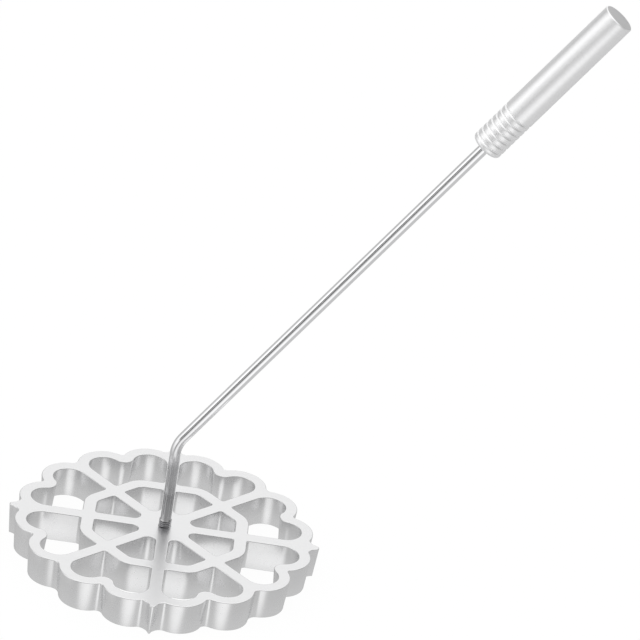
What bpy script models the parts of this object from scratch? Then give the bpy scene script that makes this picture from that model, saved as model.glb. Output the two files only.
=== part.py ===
# Rosette iron: a cast aluminium open-work mould that screws onto the threaded end
# of a bent steel rod, with a turned aluminium handle on the rod's other end.
# Metres, +Z up. The origin is on the floor, under the middle of the mould.

import bmesh
import bpy
from math import asin, atan2, cos, hypot, pi, radians, sin, sqrt, tan
from mathutils import Vector

# Mould: overall sizes of the casting
mould_height = 0.0107       # from the underside to the flat top
rim_radius = 0.04836        # to the crest of a lobe
cell_count = 8              # outer cells, each with an inner cell and two lobes of the rim
lobe_rise = 0.00466         # from the valley between two lobes to their crest
rim_wall = 0.00389          # at a lobe
valley_fillet = 0.0011      # at the top edge; the taper widens it downwards
wall_taper = 0.0009        # how far each wall leans in from top to underside
cut_overrun = 0.001         # how far cutters run past the faces they cut

# Mould: the points that stand out of the rim at every second spoke
cells_per_nub = 2
nub_rise = 0.00165          # from the crest of the lobes to the tip
nub_half_width = 0.0037
nub_flank_radius = 0.0035   # hollow flank between tip and lobe
nub_tip_round = 0.0001      # at the underside; the taper adds to it upwards

# Mould: spokes and the inner ring
spoke_width = 0.0042        # at the ring; a spoke widens a little towards the rim
ring_apothem = 0.02461      # middle of the ring's flat, measured along a spoke
ring_wall = 0.0043
ring_inner_round = 0.0037   # corner of the ring, on its inner side
corner_fillet = 0.0008      # where a spoke meets the ring
hub_fillet = 0.0022         # where two spokes meet at the hub
cusp_round = 0.00255        # point between an outer cell's two lobes, at the underside

# Rod: bent steel with a rolled thread at its lower end
rod_radius = 0.00175
thread_radius = 0.002
hub_floor = 0.0025          # metal left under the thread's blind hole
thread_shown = 0.002        # length of thread above the mould
thread_chamfer = 0.0005
stub_height = 0.03005       # from the mould's top to the bend's corner point
bend_radius = 0.011
run_elevation = radians(55.71)
run_azimuth = radians(2.0)  # from the X axis: where the thread comes tight
run_to_handle = 0.14258     # from the bend's corner point to the handle's nose

# Handle: turned bar with grooves near its nose
handle_radius = 0.00515
handle_length = 0.05894
nose_round = 0.0012
end_chamfer = 0.0003
groove_count = 7
groove_pitch = 0.00206
groove_width = 0.0009
groove_depth = 0.0004
first_groove = 0.00216      # from the nose to the middle of the first groove
handle_bore_depth = 0.02

# One clearance for every pair of touching pieces
clearance = 0.0003

# Fineness of the round shapes
lobe_steps = 8
fillet_steps = 3
round_steps = 4
bend_steps = 8
rod_bevel_resolution = 8
handle_steps = 40
hole_sides = 24
weld_distance = 0.00001
sharp_edge = radians(32)

# Sizes that follow from the ones above
lobe_count = 2 * cell_count
half_lobe = pi / lobe_count
cell_turn = 2 * pi / cell_count
valley_radius = rim_radius - lobe_rise
half_chord = valley_radius * sin(half_lobe)
sagitta = rim_radius - valley_radius * cos(half_lobe)
lobe_radius = (half_chord ** 2 + sagitta ** 2) / (2 * sagitta)
lobe_centre = Vector(((rim_radius - lobe_radius) * cos(half_lobe),
                      (rim_radius - lobe_radius) * sin(half_lobe)))
cell_lobe_radius = lobe_radius - rim_wall
ring_inner = ring_apothem - ring_wall / 2
ring_outer = ring_apothem + ring_wall / 2
ring_outer_round = ring_inner_round + ring_wall
run_heading = Vector((cos(run_azimuth), sin(run_azimuth), 0))
run_direction = run_heading * cos(run_elevation) + Vector((0, 0, sin(run_elevation)))
thread_engaged = mould_height - hub_floor - clearance
bend_corner = Vector((0, 0, mould_height + stub_height))
bend_tangent = bend_radius * tan((pi / 2 - run_elevation) / 2)
nose_centre = bend_corner + run_direction * run_to_handle


def arc(centre, radius, start, end, steps):
    """Points along an arc in the plane, the short way round, both ends included."""
    sweep = (end - start + pi) % (2 * pi) - pi
    turns = [start + sweep * step / steps for step in range(steps + 1)]
    return [centre + Vector((cos(turn), sin(turn))) * radius for turn in turns]


def direction(start, end):
    """Angle of the line from start to end."""
    return atan2(end.y - start.y, end.x - start.x)


def turned(points, turn):
    """The points turned about the origin."""
    return [Vector((p.x * cos(turn) - p.y * sin(turn), p.x * sin(turn) + p.y * cos(turn)))
            for p in points]


def mirrored(points, axis_turn):
    """The points mirrored in a line through the origin, in reverse order."""
    flat = turned(points, -axis_turn)
    return turned([Vector((p.x, -p.y)) for p in reversed(flat)], axis_turn)


def circles_meet(first, first_radius, second, second_radius, side):
    """Where two circles cross: the crossing on the named side of their centre line."""
    gap = hypot(second.x - first.x, second.y - first.y)
    along = (first_radius ** 2 - second_radius ** 2 + gap ** 2) / (2 * gap)
    across = side * sqrt(first_radius ** 2 - along ** 2)
    unit = (second - first) / gap
    return first + unit * along + Vector((-unit.y, unit.x)) * across


def plain_valley(inset):
    """Half a valley between two lobes on the X axis, and where its lobe arc starts."""
    reach = lobe_radius + valley_fillet
    centre = Vector((lobe_centre.x + sqrt(reach ** 2 - lobe_centre.y ** 2), 0))
    points = arc(centre, valley_fillet + inset, pi, direction(centre, lobe_centre), fillet_steps)
    return points, direction(lobe_centre, centre)


def nub_flank(inset):
    """Half a nub on the X axis, and where the neighbouring lobe arc starts."""
    tip_top_round = nub_tip_round + wall_taper
    tip = Vector((rim_radius + nub_rise - tip_top_round, 0))
    rise = nub_half_width - lobe_centre.y
    base = Vector((lobe_centre.x + sqrt(lobe_radius ** 2 - rise ** 2), nub_half_width))
    hollow = circles_meet(tip, nub_flank_radius + tip_top_round, base, nub_flank_radius, -1)
    fillet = circles_meet(lobe_centre, lobe_radius + valley_fillet,
                          hollow, nub_flank_radius - valley_fillet, -1)
    points = arc(tip, tip_top_round - inset, 0, direction(tip, hollow), fillet_steps)
    points += arc(hollow, nub_flank_radius + inset, direction(hollow, tip),
                  direction(hollow, fillet), round_steps)[1:]
    points += arc(fillet, valley_fillet + inset, direction(hollow, fillet),
                  direction(fillet, lobe_centre), fillet_steps)[1:]
    return points, direction(lobe_centre, fillet)


def rim_outline(inset):
    """The casting's outer outline, drawn in by the inset."""
    points = []
    lobes_per_nub = 2 * cells_per_nub
    valleys = [plain_valley if lobe % lobes_per_nub else nub_flank for lobe in range(lobe_count)]
    for lobe in range(lobe_count):
        start_points, start = valleys[lobe](inset)
        end_points, end = valleys[(lobe + 1) % lobe_count](inset)
        crest = arc(lobe_centre, lobe_radius - inset, start, 2 * half_lobe - end, lobe_steps)
        one_lobe = start_points + crest[1:] + mirrored(end_points, half_lobe)[1:-1]
        points += turned(one_lobe, 2 * half_lobe * lobe)
    return points


def heart_outline(inset, cell):
    """One outer cell: ring face, spoke, lobe and cusp, mirrored about its middle."""
    middle = cell_turn / 2
    across = Vector((cos(middle), sin(middle)))
    ring_round_centre = across * ((ring_outer - ring_outer_round) / cos(middle))
    points = arc(ring_round_centre, ring_outer_round - inset, middle, 0, round_steps)
    corner = Vector((ring_outer + corner_fillet, spoke_width / 2 + corner_fillet))
    points += arc(corner, corner_fillet + inset, pi, 1.5 * pi, fillet_steps)
    cusp_top_round = cusp_round + wall_taper
    cusp_reach = sqrt((cell_lobe_radius + cusp_top_round) ** 2 - lobe_centre.y ** 2)
    cusp_centre = across * (lobe_centre.x + cusp_reach)
    # the lobe starts at its foot, or further round where the spoke's face cuts it off
    dip = min(1, (lobe_centre.y - spoke_width / 2) / cell_lobe_radius)
    lobe_stop = direction(lobe_centre, cusp_centre)
    points += arc(lobe_centre, cell_lobe_radius + inset, -asin(dip), lobe_stop, lobe_steps)
    points += arc(cusp_centre, cusp_top_round - inset, direction(cusp_centre, lobe_centre),
                  pi + middle, round_steps)[1:]
    return turned(points + mirrored(points, middle)[1:-1], cell * cell_turn)


def kite_outline(inset, cell):
    """One inner cell: hub tip, spoke, ring face, mirrored about its middle."""
    middle = cell_turn / 2
    across = Vector((cos(middle), sin(middle)))
    tip_centre = across * ((spoke_width / 2 + hub_fillet) / sin(middle))
    points = arc(tip_centre, hub_fillet + inset, pi + middle, 1.5 * pi, fillet_steps)
    corner = Vector((ring_inner - corner_fillet, spoke_width / 2 + corner_fillet))
    points += arc(corner, corner_fillet + inset, -pi / 2, 0, fillet_steps)
    ring_round_centre = across * ((ring_inner - ring_inner_round) / cos(middle))
    points += arc(ring_round_centre, ring_inner_round + inset, 0, middle, fillet_steps)
    return turned(points + mirrored(points, middle)[1:-1], cell * cell_turn)


def inset_at(height):
    """How far the taper has drawn the walls in at a height above the underside."""
    return wall_taper * (mould_height - height) / mould_height


def tapered_prism(mesh, outline, low, high):
    """A closed prism whose outline follows the casting's taper from low to high."""
    lower = [mesh.verts.new((p.x, p.y, low)) for p in outline(inset_at(low))]
    upper = [mesh.verts.new((p.x, p.y, high)) for p in outline(inset_at(high))]
    mesh.faces.new(list(reversed(lower)))
    mesh.faces.new(upper)
    for index in range(len(lower)):
        after = (index + 1) % len(lower)
        mesh.faces.new((lower[index], lower[after], upper[after], upper[index]))


def add_object(name, data, collection):
    """Link new data to the scene as an object in a collection."""
    item = bpy.data.objects.new(name, data)
    collection.objects.link(item)
    return item


def mesh_object(name, mesh, collection):
    """Turn a bmesh into an object whose faces point outwards."""
    bmesh.ops.recalc_face_normals(mesh, faces=mesh.faces)
    data = bpy.data.meshes.new(name)
    mesh.to_mesh(data)
    mesh.free()
    data.shade_smooth()
    data.set_sharp_from_angle(angle=sharp_edge)
    return add_object(name, data, collection)


def cut(target, cutter):
    """Subtract a cutter with a live Boolean, and show the cutter as wire only."""
    modifier = target.modifiers.new(cutter.name, "BOOLEAN")
    modifier.operation = "DIFFERENCE"
    modifier.solver = "EXACT"
    modifier.object = cutter
    cutter.display_type = "WIRE"
    cutter.hide_render = True


def finish(item, name, colour, metallic, roughness):
    """Give an object its own Principled material."""
    material = bpy.data.materials.new(name)
    material.use_nodes = True
    shader = material.node_tree.nodes["Principled BSDF"]
    shader.inputs["Base Color"].default_value = (*colour, 1)
    shader.inputs["Metallic"].default_value = metallic
    shader.inputs["Roughness"].default_value = roughness
    material.diffuse_color = (*colour, 1)
    item.data.materials.append(material)


def make_mould(parts, cutters):
    """The casting: a tapered blank, cut by its sixteen cells and the blind rod hole."""
    blank = bmesh.new()
    tapered_prism(blank, rim_outline, 0, mould_height)
    mould = mesh_object("rosette_mould", blank, parts)

    cells = bmesh.new()
    low = -cut_overrun
    high = mould_height + cut_overrun
    for cell in range(cell_count):
        tapered_prism(cells, lambda inset: heart_outline(inset, cell), low, high)
        tapered_prism(cells, lambda inset: kite_outline(inset, cell), low, high)
    cut(mould, mesh_object("cell_cutter", cells, cutters))

    hole = bmesh.new()
    hole_depth = thread_engaged + clearance
    hole_radius = thread_radius + clearance
    bmesh.ops.create_cone(hole, cap_ends=True, segments=hole_sides, radius1=hole_radius,
                          radius2=hole_radius, depth=hole_depth + cut_overrun)
    hole_middle = mould_height + (cut_overrun - hole_depth) / 2
    bmesh.ops.translate(hole, verts=hole.verts, vec=(0, 0, hole_middle))
    cut(mould, mesh_object("rod_hole_cutter", hole, cutters))
    finish(mould, "cast_aluminium", (0.80, 0.80, 0.81), 0.9, 0.32)


def rod_path():
    """The rod's centre line with the radius at each point, from the thread's tip up."""
    foot = mould_height - thread_engaged
    thread_top = mould_height + thread_shown
    roll_out = thread_radius - rod_radius
    path = [(Vector((0, 0, foot)), thread_radius - thread_chamfer),
            (Vector((0, 0, foot + thread_chamfer)), thread_radius),
            (Vector((0, 0, thread_top)), thread_radius),
            (Vector((0, 0, thread_top + roll_out)), rod_radius)]
    bend_start = bend_corner - Vector((0, 0, bend_tangent))
    for step in range(bend_steps + 1):
        turn = (pi / 2 - run_elevation) * step / bend_steps
        offset = run_heading * (1 - cos(turn)) + Vector((0, 0, sin(turn)))
        path.append((bend_start + offset * bend_radius, rod_radius))
    rod_end = nose_centre + run_direction * (handle_bore_depth - clearance)
    path.append((rod_end, rod_radius))
    return path


def make_rod(parts):
    """The bent rod: one curve with a round bevel, thicker along its thread."""
    curve = bpy.data.curves.new("bent_rod", "CURVE")
    curve.dimensions = "3D"
    curve.bevel_depth = rod_radius
    curve.bevel_resolution = rod_bevel_resolution
    curve.use_fill_caps = True
    path = rod_path()
    spline = curve.splines.new("POLY")
    spline.points.add(len(path) - 1)
    for point, (place, radius) in zip(spline.points, path):
        point.co = (*place, 1)
        point.radius = radius / rod_radius
    rod = add_object("bent_rod", curve, parts)
    finish(rod, "bright_steel", (0.72, 0.73, 0.74), 1.0, 0.14)


def handle_profile():
    """Half of the handle's section: end face, barrel, grooves, nose, then the bore."""
    profile = [(0, handle_length),
               (handle_radius - end_chamfer, handle_length),
               (handle_radius, handle_length - end_chamfer)]
    for groove in reversed(range(groove_count)):
        middle = first_groove + groove * groove_pitch
        profile += [(handle_radius, middle + groove_width / 2),
                    (handle_radius - groove_depth, middle),
                    (handle_radius, middle - groove_width / 2)]
    round_centre = Vector((handle_radius - nose_round, nose_round))
    profile += [tuple(p) for p in arc(round_centre, nose_round, 0, -pi / 2, round_steps)]
    bore_radius = rod_radius + clearance
    profile += [(bore_radius, 0), (bore_radius, handle_bore_depth), (0, handle_bore_depth)]
    return profile


def make_handle(parts):
    """The handle: its half section turned about the line of the rod."""
    profile = handle_profile()
    data = bpy.data.meshes.new("turned_handle")
    points = [(radius, 0, height) for radius, height in profile]
    data.from_pydata(points, [(i, i + 1) for i in range(len(points) - 1)], [])
    handle = add_object("turned_handle", data, parts)
    turning = handle.modifiers.new("turning", "SCREW")
    turning.steps = handle_steps
    turning.render_steps = handle_steps
    turning.use_merge_vertices = True
    turning.merge_threshold = weld_distance
    handle.location = nose_centre
    handle.rotation_euler = (0, pi / 2 - run_elevation, run_azimuth)
    finish(handle, "satin_aluminium", (0.82, 0.82, 0.83), 0.9, 0.3)


def clear_scene():
    """Remove whatever the file opened with."""
    for item in list(bpy.data.objects):
        bpy.data.objects.remove(item, do_unlink=True)


def new_collection(name):
    """A new collection in the scene."""
    collection = bpy.data.collections.new(name)
    bpy.context.scene.collection.children.link(collection)
    return collection


clear_scene()
parts_collection = new_collection("rosette_iron")
cutter_collection = new_collection("cutters")
make_mould(parts_collection, cutter_collection)
make_rod(parts_collection)
make_handle(parts_collection)
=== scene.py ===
from math import atan2, ceil, cos, degrees, pi, radians, sin, sqrt, tan

import bmesh
import bpy
from mathutils import Matrix, Vector


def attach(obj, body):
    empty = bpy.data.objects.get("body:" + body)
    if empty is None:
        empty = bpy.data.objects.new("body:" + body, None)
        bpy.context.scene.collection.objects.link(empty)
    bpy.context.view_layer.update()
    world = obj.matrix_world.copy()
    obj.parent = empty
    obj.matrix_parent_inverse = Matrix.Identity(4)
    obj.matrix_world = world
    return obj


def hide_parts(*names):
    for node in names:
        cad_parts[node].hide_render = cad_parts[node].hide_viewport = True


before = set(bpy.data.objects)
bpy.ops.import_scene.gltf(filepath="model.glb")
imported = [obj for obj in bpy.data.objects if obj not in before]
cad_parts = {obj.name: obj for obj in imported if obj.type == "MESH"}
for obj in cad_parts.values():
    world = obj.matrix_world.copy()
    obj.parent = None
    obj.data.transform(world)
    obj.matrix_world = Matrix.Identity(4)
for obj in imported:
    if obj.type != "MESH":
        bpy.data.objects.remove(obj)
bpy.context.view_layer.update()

scene = bpy.context.scene
scene.view_settings.view_transform = "Standard"
print("frame loaded")


weldGap = 1e-7                  # vertices closer than this, in metres, become one
trimGap = 1e-8                  # a vertex this close to a cut lies on it
levelSlack = 1e-6               # an edge this close to a height lies at it
spareTurns = 2                  # of thread, wound past an end before it is trimmed


def allOf(bm):
    return bm.verts[:] + bm.edges[:] + bm.faces[:]


def vertsIn(items):
    return [item for item in items if isinstance(item, bmesh.types.BMVert)]


def edgesOf(verts):
    # the edges that run between these vertices
    chosen = set(verts)
    touched = dict.fromkeys(edge for vertex in verts for edge in vertex.link_edges)
    return [edge for edge in touched if set(edge.verts) <= chosen]


def edgesSince(bm, count):
    # the edges that were added after the first so many
    bm.edges.ensure_lookup_table()
    return bm.edges[count:]


def openEdgesAt(bm, height):
    return [edge for edge in bm.edges if len(edge.link_faces) < 2
            and all(abs(vertex.co.z - height) < levelSlack for vertex in edge.verts)]


def sharpEdges(bm, limit):
    # the edges where two faces meet at more than a limit in degrees
    return [edge for edge in bm.edges if len(edge.link_faces) == 2
            and degrees(edge.calc_face_angle(0)) > limit]


def weld(bm):
    bmesh.ops.remove_doubles(bm, verts=bm.verts, dist=weldGap)


def walkArc(bm, vertex, centre, target, steps):
    # spins the vertex about a centre, the short way, until it lies towards the target
    here = vertex.co.xy - centre
    there = target - centre
    sweep = atan2(here.x * there.y - here.y * there.x, here.dot(there))
    swept = bmesh.ops.spin(bm, geom=[vertex], cent=(centre.x, centre.y, vertex.co.z),
                           axis=(0, 0, 1), dvec=(0, 0, 0), angle=sweep, steps=steps)
    return vertsIn(swept["geom_last"])[0]


def walkLine(bm, vertex, x, y):
    # pulls a new vertex out of the last one, to a place at the same height
    pulled = bmesh.ops.extrude_vert_indiv(bm, verts=[vertex])["verts"][0]
    pulled.co.x, pulled.co.y = x, y
    return pulled


def circleAt(bm, radius, height, sides, capped=False):
    made = bmesh.ops.create_circle(bm, cap_ends=capped, radius=radius, segments=sides,
                                   matrix=Matrix.Translation((0, 0, height)))
    return made["verts"]


def threadTube(bm, thread, bottom, top):
    # a helical strip one pitch wide, wound past both ends and trimmed flat
    pitch, sides = thread["pitch"], thread["sides"]
    start = bottom - spareTurns * pitch
    turns = ceil((top - bottom) / pitch) + spareTurns + 1
    flat = pitch * thread["flatShare"] / 2
    outline = [(thread["minor"], 0), (thread["minor"], flat),
               (thread["major"], pitch / 2 - flat), (thread["major"], pitch / 2 + flat),
               (thread["minor"], pitch - flat), (thread["minor"], pitch)]
    verts = [bm.verts.new((radius, 0, start + rise)) for radius, rise in outline]
    edges = [bm.edges.new(pair) for pair in zip(verts, verts[1:])]
    bmesh.ops.spin(bm, geom=verts + edges, cent=(0, 0, 0), axis=(0, 0, 1),
                   dvec=(0, 0, pitch / sides), angle=2 * pi * turns, steps=sides * turns)
    weld(bm)
    for height, side in ((top, 1), (bottom, -1)):
        bmesh.ops.bisect_plane(bm, geom=allOf(bm), dist=trimGap, plane_co=(0, 0, height),
                               plane_no=(0, 0, side), clear_outer=True)


camera = {
    "place": (0.000811, -1.319232, 0.791861),
    "turnDegrees": (61.77162, -8.07526, 2.67209),
    "lens": 269.426,            # in millimetres, as the sensor is
    "sensor": 36,
    "clipEnd": 50,
}

studio = {
    "floorRadius": 6.0,
    "floorSides": 64,
    "floorDrop": 0.00005,       # keeps the floor clear of the casting's underside
    "floorOwnLight": 0.96,      # share of the floor's white that no shadow takes away
    "keyPower": 9.0,
    "keySize": 1.6,
    "keyPlace": (-0.9, -0.5, 2.2),
    "ambient": 0.95,            # what matt surfaces are lit by
    "tent": 0.60,               # what metal sees between the cards
    # each card's name, azimuth from X, elevation, inner and outer radius in degrees, brightness
    "cards": [
        ("ceiling", 20, 82, 26, 54, 1.25),
        ("backdrop", 88, 42, 18, 38, 1.0),
        ("farTable", 96, -34, 22, 42, 0.56),
        ("leftCard", -159, 12.5, 10, 45, 1.19),
        ("openFront", -125.3, -1.4, 0.2, 10.9, 0.02),
        ("openSide", -143.8, 7.7, 2.5, 10.7, 0.02),
        ("openLow", -126, -16, 1, 10, 0.30),
        ("rightSide", -8, 12, 8, 28, 0.30),
        ("cameraSide", -91, 27, 8, 28, 0.50),
        ("horizon", 92, 0, 6, 20, 0.95),
        ("frontTable", -89, -32, 1, 30, 1.04),
        ("farLeft", 141, 18.5, 2, 17.5, 0.36),
        ("frontRight", -80, -22, 6.5, 21.5, 1.10),
    ],
}


def grey(level):
    return (level, level, level, 1)


def skyDirection(azimuth, elevation):
    turn, rise = radians(azimuth), radians(elevation)
    return Vector((cos(rise) * cos(turn), cos(rise) * sin(turn), sin(rise)))


def addNode(tree, kind, **settings):
    # a setting that starts with in_ goes to the input of that name
    made = tree.nodes.new(kind)
    for name, value in settings.items():
        if name.startswith("in_"):
            made.inputs[name.removeprefix("in_").replace("_", " ")].default_value = value
        else:
            setattr(made, name, value)
    return made


def link(tree, start, output, end, socket):
    tree.links.new(start.outputs[output], end.inputs[socket])


def makeCamera():
    data = bpy.data.cameras.new("camera")
    data.lens = camera["lens"]
    data.sensor_width = camera["sensor"]
    data.clip_end = camera["clipEnd"]
    made = bpy.data.objects.new("camera", data)
    made.location = camera["place"]
    made.rotation_euler = [radians(turn) for turn in camera["turnDegrees"]]
    scene.collection.objects.link(made)
    scene.camera = made


def makeWorld():
    # metal sees the cards, matt surfaces an even light, and the camera plain white
    world = bpy.data.worlds.new("studio")
    scene.world = world
    world.use_nodes = True
    tree = world.node_tree
    tree.nodes.clear()
    coordinate = addNode(tree, "ShaderNodeTexCoord")
    seen = addNode(tree, "ShaderNodeRGB")
    seen.outputs["Color"].default_value = grey(studio["tent"])
    for name, azimuth, elevation, inner, outer, brightness in studio["cards"]:
        facing = addNode(tree, "ShaderNodeVectorMath", operation="DOT_PRODUCT", label=name)
        facing.inputs[1].default_value = skyDirection(azimuth, elevation)
        link(tree, coordinate, "Generated", facing, 0)
        edge = addNode(tree, "ShaderNodeMapRange", interpolation_type="SMOOTHSTEP",
                       in_From_Min=cos(radians(outer)), in_From_Max=cos(radians(inner)))
        link(tree, facing, "Value", edge, "Value")
        card = addNode(tree, "ShaderNodeMixRGB", in_Color2=grey(brightness))
        link(tree, edge, "Result", card, "Fac")
        link(tree, seen, "Color", card, "Color1")
        seen = card
    rays = addNode(tree, "ShaderNodeLightPath")
    metalSees = addNode(tree, "ShaderNodeMixRGB", in_Color1=grey(studio["ambient"]))
    link(tree, rays, "Is Glossy Ray", metalSees, "Fac")
    link(tree, seen, "Color", metalSees, "Color2")
    cameraSees = addNode(tree, "ShaderNodeMixRGB", in_Color2=grey(1))
    link(tree, rays, "Is Camera Ray", cameraSees, "Fac")
    link(tree, metalSees, "Color", cameraSees, "Color1")
    background = addNode(tree, "ShaderNodeBackground")
    link(tree, cameraSees, "Color", background, "Color")
    output = addNode(tree, "ShaderNodeOutputWorld")
    link(tree, background, "Background", output, "Surface")


def floorMaterial():
    # white to the camera, but for a share that takes the shadow, and clear from below
    material = bpy.data.materials.new("paleFloor")
    material.use_nodes = True
    tree = material.node_tree
    tree.nodes.clear()
    glow = addNode(tree, "ShaderNodeEmission", in_Color=grey(1), in_Strength=1)
    matt = addNode(tree, "ShaderNodeBsdfDiffuse", in_Color=grey(1))
    share = addNode(tree, "ShaderNodeMixShader", in_Fac=studio["floorOwnLight"])
    link(tree, matt, "BSDF", share, 1)
    link(tree, glow, "Emission", share, 2)
    rays = addNode(tree, "ShaderNodeLightPath")
    fromAbove = addNode(tree, "ShaderNodeMixShader")
    link(tree, rays, "Is Camera Ray", fromAbove, "Fac")
    link(tree, matt, "BSDF", fromAbove, 1)
    link(tree, share, "Shader", fromAbove, 2)
    side = addNode(tree, "ShaderNodeNewGeometry")
    eitherSide = addNode(tree, "ShaderNodeMixShader")
    link(tree, side, "Backfacing", eitherSide, "Fac")
    link(tree, fromAbove, "Shader", eitherSide, 1)
    link(tree, addNode(tree, "ShaderNodeBsdfTransparent"), "BSDF", eitherSide, 2)
    output = addNode(tree, "ShaderNodeOutputMaterial")
    link(tree, eitherSide, "Shader", output, "Surface")
    return material


def makeFloor():
    bm = bmesh.new()
    circleAt(bm, studio["floorRadius"], -studio["floorDrop"], studio["floorSides"], capped=True)
    mesh = bpy.data.meshes.new("floor")
    bm.to_mesh(mesh)
    bm.free()
    mesh.materials.append(floorMaterial())
    floor = bpy.data.objects.new("floor", mesh)
    scene.collection.objects.link(floor)
    floor.visible_glossy = False        # metal sees the lower half of the studio instead


def makeKeyLight():
    data = bpy.data.lights.new("softKey", "AREA")
    data.shape = "DISK"
    data.size = studio["keySize"]
    data.energy = studio["keyPower"]
    made = bpy.data.objects.new("softKey", data)
    made.location = studio["keyPlace"]
    made.rotation_euler = (-made.location).to_track_quat("-Z", "Y").to_euler()
    made.visible_glossy = False
    scene.collection.objects.link(made)


makeCamera()
makeWorld()
makeFloor()
makeKeyLight()
print("camera and studio made")


grain = {
    "fineRoughness": 0.6,
    "fineBand": (0.3, 0.7),     # of the fine noise, spread over a metal's roughness
    "cloudScale": 90,
    "cloudDetail": 2,
    "cloudBand": (0.35, 0.65),  # of the broad noise, spread over a metal's tones
    "bumpDepth": 0.0001,
}
waveTurn = 20                   # radians per metre that a wave texture turns at scale 1


def makeGrainGroup():
    # two noises on the vector that it is given: the height, roughness and tone of a metal
    group = bpy.data.node_groups.new("metalGrain", "ShaderNodeTree")
    group.interface.new_socket(name="Vector", in_out="INPUT", socket_type="NodeSocketVector")
    for name in ("Scale", "Detail", "Low", "High"):
        group.interface.new_socket(name=name, in_out="INPUT", socket_type="NodeSocketFloat")
    for name in ("Height", "Roughness", "Tone"):
        group.interface.new_socket(name=name, in_out="OUTPUT", socket_type="NodeSocketFloat")
    start = addNode(group, "NodeGroupInput")
    fine = addNode(group, "ShaderNodeTexNoise", in_Roughness=grain["fineRoughness"])
    for name in ("Vector", "Scale", "Detail"):
        link(group, start, name, fine, name)
    low, high = grain["fineBand"]
    spread = addNode(group, "ShaderNodeMapRange", in_From_Min=low, in_From_Max=high)
    link(group, fine, "Fac", spread, "Value")
    link(group, start, "Low", spread, "To Min")
    link(group, start, "High", spread, "To Max")
    cloud = addNode(group, "ShaderNodeTexNoise", in_Scale=grain["cloudScale"],
                    in_Detail=grain["cloudDetail"])
    link(group, start, "Vector", cloud, "Vector")
    low, high = grain["cloudBand"]
    tone = addNode(group, "ShaderNodeMapRange", in_From_Min=low, in_From_Max=high)
    link(group, cloud, "Fac", tone, "Value")
    end = addNode(group, "NodeGroupOutput")
    link(group, fine, "Fac", end, "Height")
    link(group, spread, "Result", end, "Roughness")
    link(group, tone, "Result", end, "Tone")
    return group


metalGrain = makeGrainGroup()


def paintedShadeRamp(tree, coordinate, stops):
    # painted shade: a grey that changes with height in metres and darkens metal where it sits in
    # shade or mirrors shaded surroundings
    split = addNode(tree, "ShaderNodeSeparateXYZ")
    link(tree, coordinate, "Object", split, "Vector")
    low, high = stops[0][0], stops[-1][0]
    along = addNode(tree, "ShaderNodeMapRange", in_From_Min=low, in_From_Max=high)
    link(tree, split, "Z", along, "Value")
    ramp = addNode(tree, "ShaderNodeValToRGB")
    places = ramp.color_ramp.elements       # a new ramp has two
    for index, (height, tone) in enumerate(stops):
        stop = places[index] if index < 2 else places.new(1)
        stop.position = (height - low) / (high - low)
        stop.color = grey(tone)
    link(tree, along, "Result", ramp, "Fac")
    return ramp


def facingCuts(tree, coordinate, turn, centre, pitch, strength, depth):
    # the fine rings that a lathe leaves on a faced end, about the piece's own axis
    centred = addNode(tree, "ShaderNodeMapping", vector_type="TEXTURE", in_Location=centre,
                      in_Rotation=turn)
    link(tree, coordinate, "Object", centred, "Vector")
    rings = addNode(tree, "ShaderNodeTexWave", wave_type="RINGS", rings_direction="Z",
                    in_Scale=2 * pi / (waveTurn * pitch), in_Distortion=0)
    link(tree, centred, "Vector", rings, "Vector")
    cuts = addNode(tree, "ShaderNodeBump", in_Strength=strength, in_Distance=depth)
    link(tree, rings, "Fac", cuts, "Height")
    return cuts


def makeMetal(name, look):
    material = bpy.data.materials.new(name)
    material.use_nodes = True
    tree = material.node_tree
    shader = tree.nodes["Principled BSDF"]
    shader.inputs["Metallic"].default_value = look.get("metallic", 1)
    coordinate = addNode(tree, "ShaderNodeTexCoord")
    turned = addNode(tree, "ShaderNodeMapping", vector_type="TEXTURE",
                     in_Rotation=look.get("turn", (0, 0, 0)),
                     in_Scale=look.get("stretch", (1, 1, 1)))
    link(tree, coordinate, "Object", turned, "Vector")
    low, high = look["roughness"]
    surface = addNode(tree, "ShaderNodeGroup", node_tree=metalGrain, in_Scale=look["grainScale"],
                      in_Detail=look["detail"], in_Low=low, in_High=high)
    link(tree, turned, "Vector", surface, "Vector")
    link(tree, surface, "Roughness", shader, "Roughness")
    colour = Vector(look["colour"])
    tones = addNode(tree, "ShaderNodeMixRGB", in_Color1=(*(colour * look["darker"]), 1),
                    in_Color2=(*colour, 1))
    link(tree, surface, "Tone", tones, "Fac")
    # painted shade: the colour is multiplied by a grey that changes with height
    if "paintedShadeByHeight" in look:
        shaded = addNode(tree, "ShaderNodeMixRGB", blend_type="MULTIPLY", in_Fac=1)
        link(tree, tones, "Color", shaded, "Color1")
        link(tree, paintedShadeRamp(tree, coordinate, look["paintedShadeByHeight"]), "Color", shaded, "Color2")
        tones = shaded
    link(tree, tones, "Color", shader, "Base Color")
    bump = addNode(tree, "ShaderNodeBump", in_Strength=look["bump"],
                   in_Distance=grain["bumpDepth"])
    link(tree, surface, "Height", bump, "Height")
    if "facing" in look:
        cuts = facingCuts(tree, coordinate, look["turn"], **look["facing"])
        link(tree, cuts, "Normal", bump, "Normal")
    link(tree, bump, "Normal", shader, "Normal")
    return material


def finishPiece(bm, name, body, node, metals, sharpDegrees=35):
    # closes the work on a piece: normals, sharp edges, metals, and its place in the frame
    bmesh.ops.recalc_face_normals(bm, faces=bm.faces)
    for face in bm.faces:
        face.smooth = True
    for edge in sharpEdges(bm, sharpDegrees):
        edge.smooth = False
    openEdges = sum(len(edge.link_faces) != 2 for edge in bm.edges)
    mesh = bpy.data.meshes.new(name)
    bm.to_mesh(mesh)
    bm.free()
    for metal, look in metals.items():
        mesh.materials.append(makeMetal(metal, look))
    piece = bpy.data.objects.new(name, mesh)
    scene.collection.objects.link(piece)
    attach(piece, body)
    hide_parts(node)
    print(name, "made,", len(mesh.polygons), "faces,", openEdges, "open edges")


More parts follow.
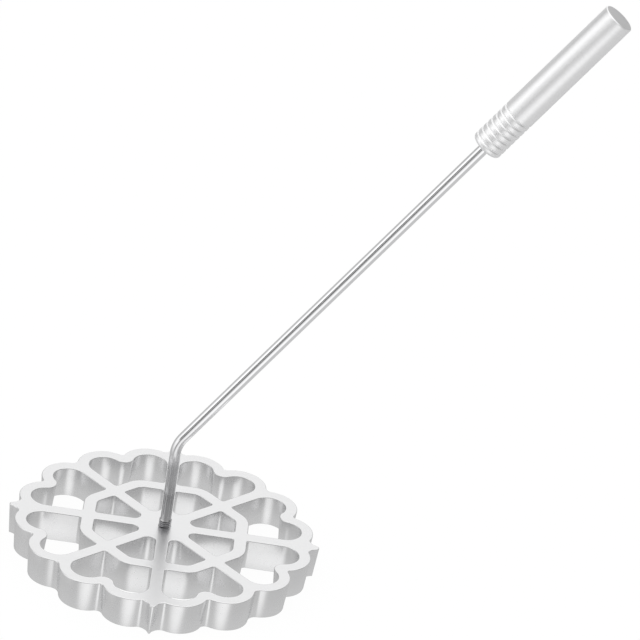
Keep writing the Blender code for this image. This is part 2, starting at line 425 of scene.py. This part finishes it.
mould = {
    "height": 0.0107,
    "crest": 0.04836,           # radius to the crest of a lobe
    "rise": 0.00466,            # of a lobe over its valleys
    "lobes": 16,
    "wall": 0.00389,
    "taper": 0.0009,            # lean of each wall from top to underside
    "valleyFillet": 0.0011,
    "spokeValleyFillet": 0.0022,    # of the valleys at the ends of the diagonal spokes
    "nubTip": 0.05001,
    "nubTipRound": 0.0012,
    "nubHalfWidth": 0.0037,
    "nubFlank": 0.0035,
    "spoke": 0.0042,
    "ringInner": 0.02246,
    "ringOuter": 0.02676,
    "ringRound": 0.0037,        # of the ring's corners, inside
    "cornerFillet": 0.0008,
    "hubFillet": 0.0022,
    "cuspRound": 0.0035,
    "topEdge": 0.00033,
    "bottomEdge": 0.0002,
    "hubFloor": 0.0025,
    "holeMouth": 0.00206,
    "holeChamfer": 0.00015,
    "flatNormal": 0.9999,       # least rise of a level face's normal
    "edgeSteps": 4,
    "rimSteps": {"nubTip": 5, "nubFlank": 8, "nubFillet": 3, "lobe": 22, "valley": 6,
                 "spokeLobe": 26, "spokeValley": 5},
    "cellSteps": {"ringOutside": 6, "ringInside": 4, "corner": 4, "lobe": 30, "cusp": 8, "hub": 8},
}
hubThread = {"minor": 0.00215, "major": 0.00245, "pitch": 0.0007, "flatShare": 0.25, "sides": 48}
mouldMetals = {
    "linishedTop": {"colour": (0.845, 0.845, 0.85), "darker": 0.985, "stretch": (1, 0.08, 1),
                    "grainScale": 260, "detail": 3, "roughness": (0.29, 0.34), "bump": 0.015},
    "castWall": {"colour": (0.91, 0.91, 0.915), "darker": 0.98, "grainScale": 500, "detail": 3,
                 "roughness": (0.25, 0.28), "bump": 0.004,
                 # painted shade: the outer walls' colour gets darker towards the top
                 "paintedShadeByHeight": ((0, 1), (0.0016, 1), (0.0048, 0.955), (0.0072, 0.925),
                             (mould["height"], 0.905))},
    # painted shade: a copy of the cast walls for the cells, whose colour gets darker towards the
    # top than the outer walls'
    "cellWall": {"colour": (0.93, 0.93, 0.935), "darker": 0.98, "grainScale": 500, "detail": 3,
                 "roughness": (0.25, 0.28), "bump": 0.004,
                 "paintedShadeByHeight": ((0, 1), (0.0028, 0.97), (0.006, 0.885), (0.0075, 0.845),
                             (mould["height"], 0.835))},
}
topMetal, wallMetal, cellMetal = range(len(mouldMetals))

halfLobe = pi / mould["lobes"]
cellMiddle = 2 * halfLobe
valleyRadius = mould["crest"] - mould["rise"]
halfChord = valleyRadius * sin(halfLobe)
sagitta = mould["crest"] - valleyRadius * cos(halfLobe)
lobeRadius = (halfChord ** 2 + sagitta ** 2) / (2 * sagitta)
hubPoint = Vector((0, 0))


def polar(radius, angle):
    return Vector((cos(angle), sin(angle))) * radius


lobeFirst = polar(mould["crest"] - lobeRadius, halfLobe)
lobeSecond = polar(mould["crest"] - lobeRadius, 3 * halfLobe)


def axisCentre(lobeCentre, reach, angle):
    # the centre on a mirror line through the hub, at a given reach from a lobe's centre
    unit = polar(1, angle)
    along = lobeCentre.dot(unit)
    across = (lobeCentre - unit * along).length
    return unit * (along + sqrt(reach ** 2 - across ** 2))


def circlesMeet(first, firstRadius, second, secondRadius):
    # where two circles cross, to the right of the line between their centres
    gap = second - first
    along = (firstRadius ** 2 - secondRadius ** 2 + gap.length_squared) / (2 * gap.length)
    across = sqrt(firstRadius ** 2 - along ** 2)
    unit = gap.normalized()
    return first + unit * along + Vector((unit.y, -unit.x)) * across


def nubCentres():
    # centres of the tip's rounding, the hollow flank, and the fillet where nub and lobe meet
    tip = Vector((mould["nubTip"] - mould["nubTipRound"], 0))
    rise = mould["nubHalfWidth"] - lobeFirst.y
    base = Vector((lobeFirst.x + sqrt(lobeRadius ** 2 - rise ** 2), mould["nubHalfWidth"]))
    hollow = circlesMeet(tip, mould["nubFlank"] + mould["nubTipRound"], base, mould["nubFlank"])
    fillet = circlesMeet(lobeFirst, lobeRadius + mould["valleyFillet"],
                         hollow, mould["nubFlank"] - mould["valleyFillet"])
    return tip, hollow, fillet


def rimChain(bm, height, inset):
    # the outer outline from the nub on the X axis to the valley at 45 degrees
    count, steps = len(bm.edges), mould["rimSteps"]
    tip, hollow, fillet = nubCentres()
    valley = axisCentre(lobeFirst, lobeRadius + mould["valleyFillet"], cellMiddle)
    lastValley = axisCentre(lobeSecond, lobeRadius + mould["spokeValleyFillet"], 2 * cellMiddle)
    vertex = bm.verts.new((mould["nubTip"] - inset, 0, height))
    vertex = walkArc(bm, vertex, tip, hollow, steps["nubTip"])
    vertex = walkArc(bm, vertex, hollow, fillet, steps["nubFlank"])
    vertex = walkArc(bm, vertex, fillet, lobeFirst, steps["nubFillet"])
    vertex = walkArc(bm, vertex, lobeFirst, valley, steps["lobe"])
    vertex = walkArc(bm, vertex, valley, lobeSecond, steps["valley"])
    vertex = walkArc(bm, vertex, lobeSecond, lastValley, steps["spokeLobe"])
    walkArc(bm, vertex, lastValley, hubPoint, steps["spokeValley"])
    return edgesSince(bm, count)


def heartChain(bm, height, inset):
    # half of an outer cell, from the ring round to the cusp
    count, steps = len(bm.edges), mould["cellSteps"]
    outerRound = mould["ringRound"] + mould["ringOuter"] - mould["ringInner"]
    ringRound = polar((mould["ringOuter"] - outerRound) / cos(cellMiddle), cellMiddle)
    corner = Vector((mould["ringOuter"] + mould["cornerFillet"],
                     mould["spoke"] / 2 + mould["cornerFillet"]))
    cellLobe = lobeRadius - mould["wall"]
    cusp = axisCentre(lobeFirst, cellLobe + mould["cuspRound"], cellMiddle)
    start = ringRound + polar(outerRound - inset, cellMiddle)
    vertex = bm.verts.new((start.x, start.y, height))
    vertex = walkArc(bm, vertex, ringRound, ringRound + Vector((1, 0)), steps["ringOutside"])
    vertex = walkLine(bm, vertex, vertex.co.x, corner.y)
    vertex = walkArc(bm, vertex, corner, corner - Vector((0, 1)), steps["corner"])
    vertex = walkLine(bm, vertex, lobeFirst.x, lobeFirst.y - cellLobe - inset)
    vertex = walkArc(bm, vertex, lobeFirst, cusp, steps["lobe"])
    walkArc(bm, vertex, cusp, hubPoint, steps["cusp"])
    return edgesSince(bm, count)


def kiteChain(bm, height, inset):
    # half of an inner cell, from the ring round to the hub
    count, steps = len(bm.edges), mould["cellSteps"]
    ringRound = polar((mould["ringInner"] - mould["ringRound"]) / cos(cellMiddle), cellMiddle)
    corner = Vector((mould["ringInner"] - mould["cornerFillet"],
                     mould["spoke"] / 2 + mould["cornerFillet"]))
    hubRound = polar((mould["spoke"] / 2 + mould["hubFillet"]) / sin(cellMiddle), cellMiddle)
    start = ringRound + polar(mould["ringRound"] + inset, cellMiddle)
    vertex = bm.verts.new((start.x, start.y, height))
    vertex = walkArc(bm, vertex, ringRound, ringRound + Vector((1, 0)), steps["ringInside"])
    vertex = walkLine(bm, vertex, vertex.co.x, corner.y)
    vertex = walkArc(bm, vertex, corner, corner - Vector((0, 1)), steps["corner"])
    vertex = walkLine(bm, vertex, hubRound.x, vertex.co.y)
    walkArc(bm, vertex, hubRound, hubPoint, steps["hub"])
    return edgesSince(bm, count)


def wallLevels():
    # height and inset of each level, from the rounded top edge to the rounded bottom edge
    full, top, bottom = mould["height"], mould["topEdge"], mould["bottomEdge"]
    turns = [pi / 2 * step / mould["edgeSteps"] for step in range(mould["edgeSteps"] + 1)]
    levels = [(full - top * (1 - cos(turn)), top * (1 - sin(turn))) for turn in turns]
    levels += [(bottom * (1 - cos(turn)), bottom * (1 - sin(turn))) for turn in reversed(turns)]
    return [(height, inset + mould["taper"] * (1 - height / full)) for height, inset in levels]


def mirrorCopy(bm, angle):
    # adds the mirror image of everything in the line at this angle, and welds it on
    made = bmesh.ops.duplicate(bm, geom=allOf(bm))
    bmesh.ops.scale(bm, verts=vertsIn(made["geom"]), vec=(1, -1, 1),
                    space=Matrix.Rotation(-angle, 4, "Z"))
    weld(bm)


def wallsOf(chain, metal):
    bm = bmesh.new()
    rings = [chain(bm, height, inset) for height, inset in wallLevels()]
    for upper, lower in zip(rings, rings[1:]):
        bmesh.ops.bridge_loops(bm, edges=upper + lower)
    for face in bm.faces:
        face.material_index = metal
    return bm


def makeHole():
    # the tapped blind hole in the hub, with a small chamfer at its mouth
    bm = bmesh.new()
    top, floor = mould["height"] - mould["holeChamfer"], mould["hubFloor"]
    threadTube(bm, hubThread, floor, top)
    upper, lower = openEdgesAt(bm, top), openEdgesAt(bm, floor)
    mouth = circleAt(bm, mould["holeMouth"], mould["height"], hubThread["sides"])
    bmesh.ops.bridge_loops(bm, edges=upper + edgesOf(mouth))
    bmesh.ops.triangle_fill(bm, use_beauty=True, edges=lower)
    for face in bm.faces:
        face.material_index = wallMetal
    return bm


def joinInto(bm, other):
    # brings another bmesh's geometry in
    mesh = bpy.data.meshes.new("part")
    other.to_mesh(mesh)
    other.free()
    bm.from_mesh(mesh)
    bpy.data.meshes.remove(mesh)


def makeMould():
    # an eighth of the rim and half of each cell, mirrored into a quarter and turned round
    bm = bmesh.new()
    for chain in (heartChain, kiteChain):
        cell = wallsOf(chain, cellMetal)
        mirrorCopy(cell, cellMiddle)
        joinInto(bm, cell)
    joinInto(bm, wallsOf(rimChain, wallMetal))
    mirrorCopy(bm, 0)
    moreQuarters = 3
    bmesh.ops.spin(bm, geom=allOf(bm), cent=(0, 0, 0), axis=(0, 0, 1), dvec=(0, 0, 0),
                   angle=moreQuarters * pi / 2, steps=moreQuarters, use_duplicate=True)
    weld(bm)
    joinInto(bm, makeHole())
    for height in (mould["height"], 0):
        bmesh.ops.triangle_fill(bm, use_beauty=True, edges=openEdgesAt(bm, height))
    for face in bm.faces:
        face.normal_update()
        if abs(face.normal.z) > mould["flatNormal"]:
            onTop = face.calc_center_median().z > mould["height"] / 2
            face.material_index = topMetal if onTop else wallMetal
            for edge in face.edges:
                edge.smooth = False
    finishPiece(bm, "castMould", "mould", "rosette_mould", mouldMetals)


makeMould()


rod = {
    "radius": 0.00175,
    "sides": 48,
    "tip": 0.0028,              # height of its lower end, inside the hub
    "tipRadius": 0.0014,
    "threadStart": 0.0033,
    "threadEnd": 0.0130,
    "collarRise": 0.00005,      # where the last turn of thread closes
    "shankStart": 0.0135,
    "corner": 0.04075,          # height of the bend's corner point
    "bendRadius": 0.011,
    "bendSteps": 24,
    "elevation": 55.71,
    "azimuth": 2.0,
    "run": 0.16228,             # from the corner point to its end in the handle
    "sharpDegrees": 12,
}
rodThread = {"minor": 0.00157, "major": 0.0020, "pitch": 0.0007, "flatShare": 0.2, "sides": 48}
rodMetals = {
    "brightWire": {"colour": (0.90, 0.90, 0.91), "darker": 0.99, "grainScale": 500, "detail": 2,
                   "roughness": (0.07, 0.10), "bump": 0.004,
                   # painted shade and reflection: the wire's colour is darker low down, up past
                   # the bend, where it mirrors shaded surroundings
                   "paintedShadeByHeight": ((mould["height"], 0.52), (0.025, 0.55), (0.031, 0.73),
                               (0.0415, 0.88), (0.052, 1))},
    # painted shade: the threaded end is a much darker grey than the wire, for the shade in its
    # grooves and where it enters the hub
    "threadPaintedShade": {"colour": (0.46, 0.46, 0.47), "darker": 0.9, "grainScale": 900, "detail": 3,
                     "roughness": (0.16, 0.24), "bump": 0.02},
}
wireMetal, threadMetal = range(len(rodMetals))

lean = pi / 2 - radians(rod["elevation"])
heading = Vector((*polar(1, radians(rod["azimuth"])), 0))
runDirection = heading * sin(lean) + Vector((0, 0, cos(lean)))
cornerPoint = Vector((0, 0, rod["corner"]))


def pushRing(bm, verts, offset):
    # draws a ring of edges out along a straight length
    drawn = vertsIn(bmesh.ops.extrude_edge_only(bm, edges=edgesOf(verts))["geom"])
    bmesh.ops.translate(bm, verts=drawn, vec=offset)
    return drawn


def makeRod():
    bm = bmesh.new()
    threadTube(bm, rodThread, rod["threadStart"], rod["threadEnd"])
    upper, lower = openEdgesAt(bm, rod["threadEnd"]), openEdgesAt(bm, rod["threadStart"])
    tip = circleAt(bm, rod["tipRadius"], rod["tip"], rod["sides"], capped=True)
    bmesh.ops.bridge_loops(bm, edges=lower + edgesOf(tip))
    collarHeight = rod["threadEnd"] + rod["collarRise"]
    collar = circleAt(bm, rodThread["major"], collarHeight, rod["sides"])
    bmesh.ops.bridge_loops(bm, edges=upper + edgesOf(collar))
    ring = circleAt(bm, rod["radius"], rod["shankStart"], rod["sides"])
    bmesh.ops.bridge_loops(bm, edges=edgesOf(collar) + edgesOf(ring))
    tangent = rod["bendRadius"] * tan(lean / 2)
    ring = pushRing(bm, ring, (0, 0, rod["corner"] - tangent - rod["shankStart"]))
    bendCentre = cornerPoint - Vector((0, 0, tangent)) + heading * rod["bendRadius"]
    swept = bmesh.ops.spin(bm, geom=ring + edgesOf(ring), cent=bendCentre,
                           axis=(-heading.y, heading.x, 0), dvec=(0, 0, 0), angle=lean,
                           steps=rod["bendSteps"])
    ring = pushRing(bm, vertsIn(swept["geom_last"]), runDirection * (rod["run"] - tangent))
    bmesh.ops.contextual_create(bm, geom=edgesOf(ring))
    for face in bm.faces:
        threaded = face.calc_center_median().z < rod["threadEnd"]
        face.material_index = threadMetal if threaded else wireMetal
    finishPiece(bm, "bentRod", "grip", "bent_rod", rodMetals,
                rod["sharpDegrees"])


makeRod()


handle = {
    "nose": 0.14258,            # from the rod's corner point to the nose face
    "length": 0.05894,
    "radius": 0.00515,
    "noseRound": 0.0012,
    "noseSteps": 8,
    "endChamfer": 0.0003,
    "grooves": 7,
    "groovePitch": 0.00206,
    "grooveWidth": 0.0009,
    "grooveDepth": 0.0004,
    "firstGroove": 0.00216,
    "bore": 0.0018,
    "boreDepth": 0.02,
    "boreMouth": 0.0003,
    "edgeRound": 0.0001,
    "edgeSegments": 3,
    "edgeDegrees": 20,          # an edge sharper than this is rounded
    "sides": 128,
}
handleTurn = (0, lean, radians(rod["azimuth"]))     # the handle leans with the rod's run
handleMetals = {
    # the small stretch packs the grain closer along the handle
    "satinTurned": {"colour": (0.97, 0.97, 0.975), "darker": 0.985, "stretch": (1, 1, 0.06),
                    "turn": handleTurn, "grainScale": 300, "detail": 3,
                    "roughness": (0.37, 0.41), "bump": 0.008, "metallic": 0.93},
    # painted shade: the end face is a darker grey than the barrel, for how light falls on it; the
    # faced rings are bumps
    "facedEndPaintedShade": {"colour": (0.71, 0.71, 0.715), "darker": 0.97, "turn": handleTurn,
                 "grainScale": 500, "detail": 3, "roughness": (0.30, 0.36), "bump": 0.012,
                 "facing": {"centre": cornerPoint, "pitch": 0.00022, "strength": 0.12,
                            "depth": 0.00005}},
}
turnedMetal, endMetal = range(len(handleMetals))


def makeHandle():
    # the half section lies in the XY plane, its height along Y, and is spun about Y
    bm = bmesh.new()
    radius, length = handle["radius"], handle["length"]
    vertex = bm.verts.new((0, handle["boreDepth"], 0))
    vertex = walkLine(bm, vertex, handle["bore"], handle["boreDepth"])
    vertex = walkLine(bm, vertex, handle["bore"], handle["boreMouth"])
    vertex = walkLine(bm, vertex, handle["bore"] + handle["boreMouth"], 0)
    vertex = walkLine(bm, vertex, radius - handle["noseRound"], 0)
    noseCentre = Vector((radius - handle["noseRound"], handle["noseRound"]))
    vertex = walkArc(bm, vertex, noseCentre, noseCentre + Vector((1, 0)), handle["noseSteps"])
    for groove in range(handle["grooves"]):
        middle = handle["firstGroove"] + groove * handle["groovePitch"]
        vertex = walkLine(bm, vertex, radius, middle - handle["grooveWidth"] / 2)
        vertex = walkLine(bm, vertex, radius - handle["grooveDepth"], middle)
        vertex = walkLine(bm, vertex, radius, middle + handle["grooveWidth"] / 2)
    vertex = walkLine(bm, vertex, radius, length - handle["endChamfer"])
    vertex = walkLine(bm, vertex, radius - handle["endChamfer"], length)
    walkLine(bm, vertex, 0, length)
    bmesh.ops.spin(bm, geom=bm.verts[:] + bm.edges[:], cent=(0, 0, 0), axis=(0, 1, 0),
                   dvec=(0, 0, 0), angle=2 * pi, steps=handle["sides"], use_merge=True)
    weld(bm)
    bmesh.ops.bevel(bm, geom=sharpEdges(bm, handle["edgeDegrees"]), offset=handle["edgeRound"],
                    segments=handle["edgeSegments"], profile=0.5, affect="EDGES", material=-1)
    for face in bm.faces:
        onEnd = face.calc_center_median().y > length - handle["endChamfer"] / 4
        face.material_index = endMetal if onEnd else turnedMetal
    place = Matrix.Translation(cornerPoint + runDirection * handle["nose"])
    turn = Matrix.Rotation(radians(rod["azimuth"]), 4, "Z") @ Matrix.Rotation(lean, 4, "Y")
    bmesh.ops.transform(bm, verts=bm.verts, matrix=place @ turn @ Matrix.Rotation(pi / 2, 4, "X"))
    finishPiece(bm, "turnedHandle", "grip", "turned_handle", handleMetals)


makeHandle()
